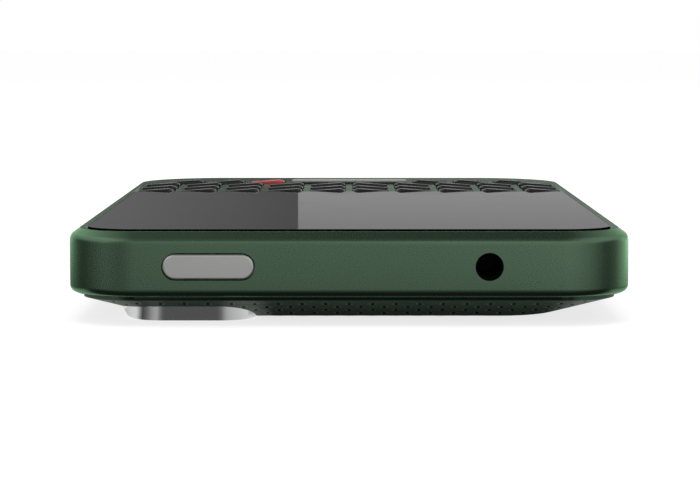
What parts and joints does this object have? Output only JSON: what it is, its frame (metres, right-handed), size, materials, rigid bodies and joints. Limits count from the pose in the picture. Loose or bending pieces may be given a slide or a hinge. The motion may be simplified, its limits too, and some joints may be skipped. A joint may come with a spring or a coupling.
{
  "type": "keyboard smartphone",
  "caption": "Slab smartphone with a fixed sculpted keyboard below its display, a metal band, a dimpled dished back cover and a polished tapered camera block.",
  "frame": {"origin": "centre of the bounding box in X and Y, at the level of the camera bezel's outer face, which is the lowest point with the display up", "axes": "+X to the right of someone who reads the display, +Y towards the top edge with the headphone socket, +Z out of the display"},
  "size_m": [0.079, 0.1319, 0.0137],
  "materials": {
    "green_metal": "anodised, satin",
    "cast_metal": "as cast",
    "display_glass": "polished, black from behind",
    "display_panel": "smooth",
    "board": "solder resist",
    "green_cover": "soft, dimpled",
    "chrome": "polished",
    "lens_glass": "polished",
    "flash_plastic": "clear",
    "camera_black": "fine matt",
    "plate_steel": "plated",
    "battery_foil": "foil pouch",
    "socket_black": "moulded",
    "port_steel": "plated",
    "screw_steel": "blackened",
    "silver_metal": "satin",
    "key_black": "semi gloss",
    "key_light": "semi gloss",
    "key_red": "semi gloss"
  },
  "bodies": {
    "phone": {"front_frame": "green_metal", "mid_plate": "cast_metal", "display_glass": "display_glass", "display_panel": "display_panel", "dome_board": "board", "back_cover": "green_cover", "camera_bezel": "chrome", "camera_glass": "lens_glass", "flash_lens": "flash_plastic", "rear_camera": "camera_black", "front_camera": "camera_black", "earpiece": "camera_black", "main_board": "board", "board_shields": "plate_steel", "battery": "battery_foil", "headphone_jack": "socket_black", "usb_port": "port_steel", "loudspeaker": "socket_black", "vibration_motor": "plate_steel", "plate_screws": "screw_steel"},
    "power_button": {"power_button": "silver_metal"},
    "volume_rocker": {"volume_rocker": "silver_metal"},
    "sim_tray": {"sim_tray": "green_metal"},
    "key_r1_01": {"key_r1_01": "key_black"},
    "key_r1_02": {"key_r1_02": "key_black"},
    "key_r1_03": {"key_r1_03": "key_black"},
    "key_r1_04": {"key_r1_04": "key_black"},
    "key_r1_05": {"key_r1_05": "key_black"},
    "key_r1_06": {"key_r1_06": "key_black"},
    "key_r1_07": {"key_r1_07": "key_black"},
    "key_r1_08": {"key_r1_08": "key_black"},
    "key_r1_09": {"key_r1_09": "key_black"},
    "key_r1_10": {"key_r1_10": "key_black"},
    "key_r2_01": {"key_r2_01": "key_black"},
    "key_r2_02": {"key_r2_02": "key_black"},
    "key_r2_03": {"key_r2_03": "key_black"},
    "key_r2_04": {"key_r2_04": "key_black"},
    "key_r2_05": {"key_r2_05": "key_black"},
    "key_r2_06": {"key_r2_06": "key_black"},
    "key_r2_07": {"key_r2_07": "key_black"},
    "key_r2_08": {"key_r2_08": "key_black"},
    "key_r2_09": {"key_r2_09": "key_black"},
    "key_r2_10": {"key_r2_10": "key_black"},
    "key_r3_01": {"key_r3_01": "key_black"},
    "key_r3_02": {"key_r3_02": "key_black"},
    "key_r3_03": {"key_r3_03": "key_black"},
    "key_r3_04": {"key_r3_04": "key_black"},
    "key_r3_05": {"key_r3_05": "key_black"},
    "key_r3_06": {"key_r3_06": "key_black"},
    "key_r3_07": {"key_r3_07": "key_black"},
    "key_r3_08": {"key_r3_08": "key_black"},
    "key_r3_09": {"key_r3_09": "key_black"},
    "key_r3_10": {"key_r3_10": "key_black"},
    "space_bar": {"space_bar": "key_light"},
    "key_r4_left_1": {"key_r4_left_1": "key_black"},
    "key_r4_left_2": {"key_r4_left_2": "key_black"},
    "key_r4_left_3": {"key_r4_left_3": "key_black"},
    "key_r4_right_1": {"key_r4_right_1": "key_red"},
    "key_r4_right_2": {"key_r4_right_2": "key_black"},
    "key_r4_right_3": {"key_r4_right_3": "key_black"}
  },
  "joints": [
    {"name": "power_button_press", "type": "slide", "parent": "phone", "child": "power_button", "axis": [0, -1, 0], "range_m": [0, 0.0003], "stiffness_N_per_m": 3000},
    {"name": "volume_rocker_tilt", "type": "hinge", "parent": "phone", "child": "volume_rocker", "pos_m": [-0.0383, 0.006, 0.00817], "axis": [0, 0, 1], "range_deg": [-1, 1], "stiffness_Nm_per_rad": 0.8},
    {"name": "sim_tray_slide", "type": "slide", "parent": "phone", "child": "sim_tray", "axis": [1, 0, 0], "range_m": [0, 0.015]},
    {"name": "space_bar_press", "type": "slide", "parent": "phone", "child": "space_bar", "axis": [0, 0, -1], "range_m": [0, 0.0004], "stiffness_N_per_m": 1500},
    {"name": "key_r1_01_press", "type": "slide", "parent": "phone", "child": "key_r1_01", "axis": [0, 0, -1], "range_m": [0, 0.0004], "stiffness_N_per_m": 1500},
    {"name": "key_r1_02_press", "type": "slide", "parent": "phone", "child": "key_r1_02", "axis": [0, 0, -1], "range_m": [0, 0.0004], "stiffness_N_per_m": 1500},
    {"name": "key_r1_03_press", "type": "slide", "parent": "phone", "child": "key_r1_03", "axis": [0, 0, -1], "range_m": [0, 0.0004], "stiffness_N_per_m": 1500},
    {"name": "key_r1_04_press", "type": "slide", "parent": "phone", "child": "key_r1_04", "axis": [0, 0, -1], "range_m": [0, 0.0004], "stiffness_N_per_m": 1500},
    {"name": "key_r1_05_press", "type": "slide", "parent": "phone", "child": "key_r1_05", "axis": [0, 0, -1], "range_m": [0, 0.0004], "stiffness_N_per_m": 1500},
    {"name": "key_r1_06_press", "type": "slide", "parent": "phone", "child": "key_r1_06", "axis": [0, 0, -1], "range_m": [0, 0.0004], "stiffness_N_per_m": 1500},
    {"name": "key_r1_07_press", "type": "slide", "parent": "phone", "child": "key_r1_07", "axis": [0, 0, -1], "range_m": [0, 0.0004], "stiffness_N_per_m": 1500},
    {"name": "key_r1_08_press", "type": "slide", "parent": "phone", "child": "key_r1_08", "axis": [0, 0, -1], "range_m": [0, 0.0004], "stiffness_N_per_m": 1500},
    {"name": "key_r1_09_press", "type": "slide", "parent": "phone", "child": "key_r1_09", "axis": [0, 0, -1], "range_m": [0, 0.0004], "stiffness_N_per_m": 1500},
    {"name": "key_r1_10_press", "type": "slide", "parent": "phone", "child": "key_r1_10", "axis": [0, 0, -1], "range_m": [0, 0.0004], "stiffness_N_per_m": 1500},
    {"name": "key_r2_01_press", "type": "slide", "parent": "phone", "child": "key_r2_01", "axis": [0, 0, -1], "range_m": [0, 0.0004], "stiffness_N_per_m": 1500},
    {"name": "key_r2_02_press", "type": "slide", "parent": "phone", "child": "key_r2_02", "axis": [0, 0, -1], "range_m": [0, 0.0004], "stiffness_N_per_m": 1500},
    {"name": "key_r2_03_press", "type": "slide", "parent": "phone", "child": "key_r2_03", "axis": [0, 0, -1], "range_m": [0, 0.0004], "stiffness_N_per_m": 1500},
    {"name": "key_r2_04_press", "type": "slide", "parent": "phone", "child": "key_r2_04", "axis": [0, 0, -1], "range_m": [0, 0.0004], "stiffness_N_per_m": 1500},
    {"name": "key_r2_05_press", "type": "slide", "parent": "phone", "child": "key_r2_05", "axis": [0, 0, -1], "range_m": [0, 0.0004], "stiffness_N_per_m": 1500},
    {"name": "key_r2_06_press", "type": "slide", "parent": "phone", "child": "key_r2_06", "axis": [0, 0, -1], "range_m": [0, 0.0004], "stiffness_N_per_m": 1500},
    {"name": "key_r2_07_press", "type": "slide", "parent": "phone", "child": "key_r2_07", "axis": [0, 0, -1], "range_m": [0, 0.0004], "stiffness_N_per_m": 1500},
    {"name": "key_r2_08_press", "type": "slide", "parent": "phone", "child": "key_r2_08", "axis": [0, 0, -1], "range_m": [0, 0.0004], "stiffness_N_per_m": 1500},
    {"name": "key_r2_09_press", "type": "slide", "parent": "phone", "child": "key_r2_09", "axis": [0, 0, -1], "range_m": [0, 0.0004], "stiffness_N_per_m": 1500},
    {"name": "key_r2_10_press", "type": "slide", "parent": "phone", "child": "key_r2_10", "axis": [0, 0, -1], "range_m": [0, 0.0004], "stiffness_N_per_m": 1500},
    {"name": "key_r3_01_press", "type": "slide", "parent": "phone", "child": "key_r3_01", "axis": [0, 0, -1], "range_m": [0, 0.0004], "stiffness_N_per_m": 1500},
    {"name": "key_r3_02_press", "type": "slide", "parent": "phone", "child": "key_r3_02", "axis": [0, 0, -1], "range_m": [0, 0.0004], "stiffness_N_per_m": 1500},
    {"name": "key_r3_03_press", "type": "slide", "parent": "phone", "child": "key_r3_03", "axis": [0, 0, -1], "range_m": [0, 0.0004], "stiffness_N_per_m": 1500},
    {"name": "key_r3_04_press", "type": "slide", "parent": "phone", "child": "key_r3_04", "axis": [0, 0, -1], "range_m": [0, 0.0004], "stiffness_N_per_m": 1500},
    {"name": "key_r3_05_press", "type": "slide", "parent": "phone", "child": "key_r3_05", "axis": [0, 0, -1], "range_m": [0, 0.0004], "stiffness_N_per_m": 1500},
    {"name": "key_r3_06_press", "type": "slide", "parent": "phone", "child": "key_r3_06", "axis": [0, 0, -1], "range_m": [0, 0.0004], "stiffness_N_per_m": 1500},
    {"name": "key_r3_07_press", "type": "slide", "parent": "phone", "child": "key_r3_07", "axis": [0, 0, -1], "range_m": [0, 0.0004], "stiffness_N_per_m": 1500},
    {"name": "key_r3_08_press", "type": "slide", "parent": "phone", "child": "key_r3_08", "axis": [0, 0, -1], "range_m": [0, 0.0004], "stiffness_N_per_m": 1500},
    {"name": "key_r3_09_press", "type": "slide", "parent": "phone", "child": "key_r3_09", "axis": [0, 0, -1], "range_m": [0, 0.0004], "stiffness_N_per_m": 1500},
    {"name": "key_r3_10_press", "type": "slide", "parent": "phone", "child": "key_r3_10", "axis": [0, 0, -1], "range_m": [0, 0.0004], "stiffness_N_per_m": 1500},
    {"name": "key_r4_left_1_press", "type": "slide", "parent": "phone", "child": "key_r4_left_1", "axis": [0, 0, -1], "range_m": [0, 0.0004], "stiffness_N_per_m": 1500},
    {"name": "key_r4_left_2_press", "type": "slide", "parent": "phone", "child": "key_r4_left_2", "axis": [0, 0, -1], "range_m": [0, 0.0004], "stiffness_N_per_m": 1500},
    {"name": "key_r4_left_3_press", "type": "slide", "parent": "phone", "child": "key_r4_left_3", "axis": [0, 0, -1], "range_m": [0, 0.0004], "stiffness_N_per_m": 1500},
    {"name": "key_r4_right_1_press", "type": "slide", "parent": "phone", "child": "key_r4_right_1", "axis": [0, 0, -1], "range_m": [0, 0.0004], "stiffness_N_per_m": 1500},
    {"name": "key_r4_right_2_press", "type": "slide", "parent": "phone", "child": "key_r4_right_2", "axis": [0, 0, -1], "range_m": [0, 0.0004], "stiffness_N_per_m": 1500},
    {"name": "key_r4_right_3_press", "type": "slide", "parent": "phone", "child": "key_r4_right_3", "axis": [0, 0, -1], "range_m": [0, 0.0004], "stiffness_N_per_m": 1500}
  ]
}
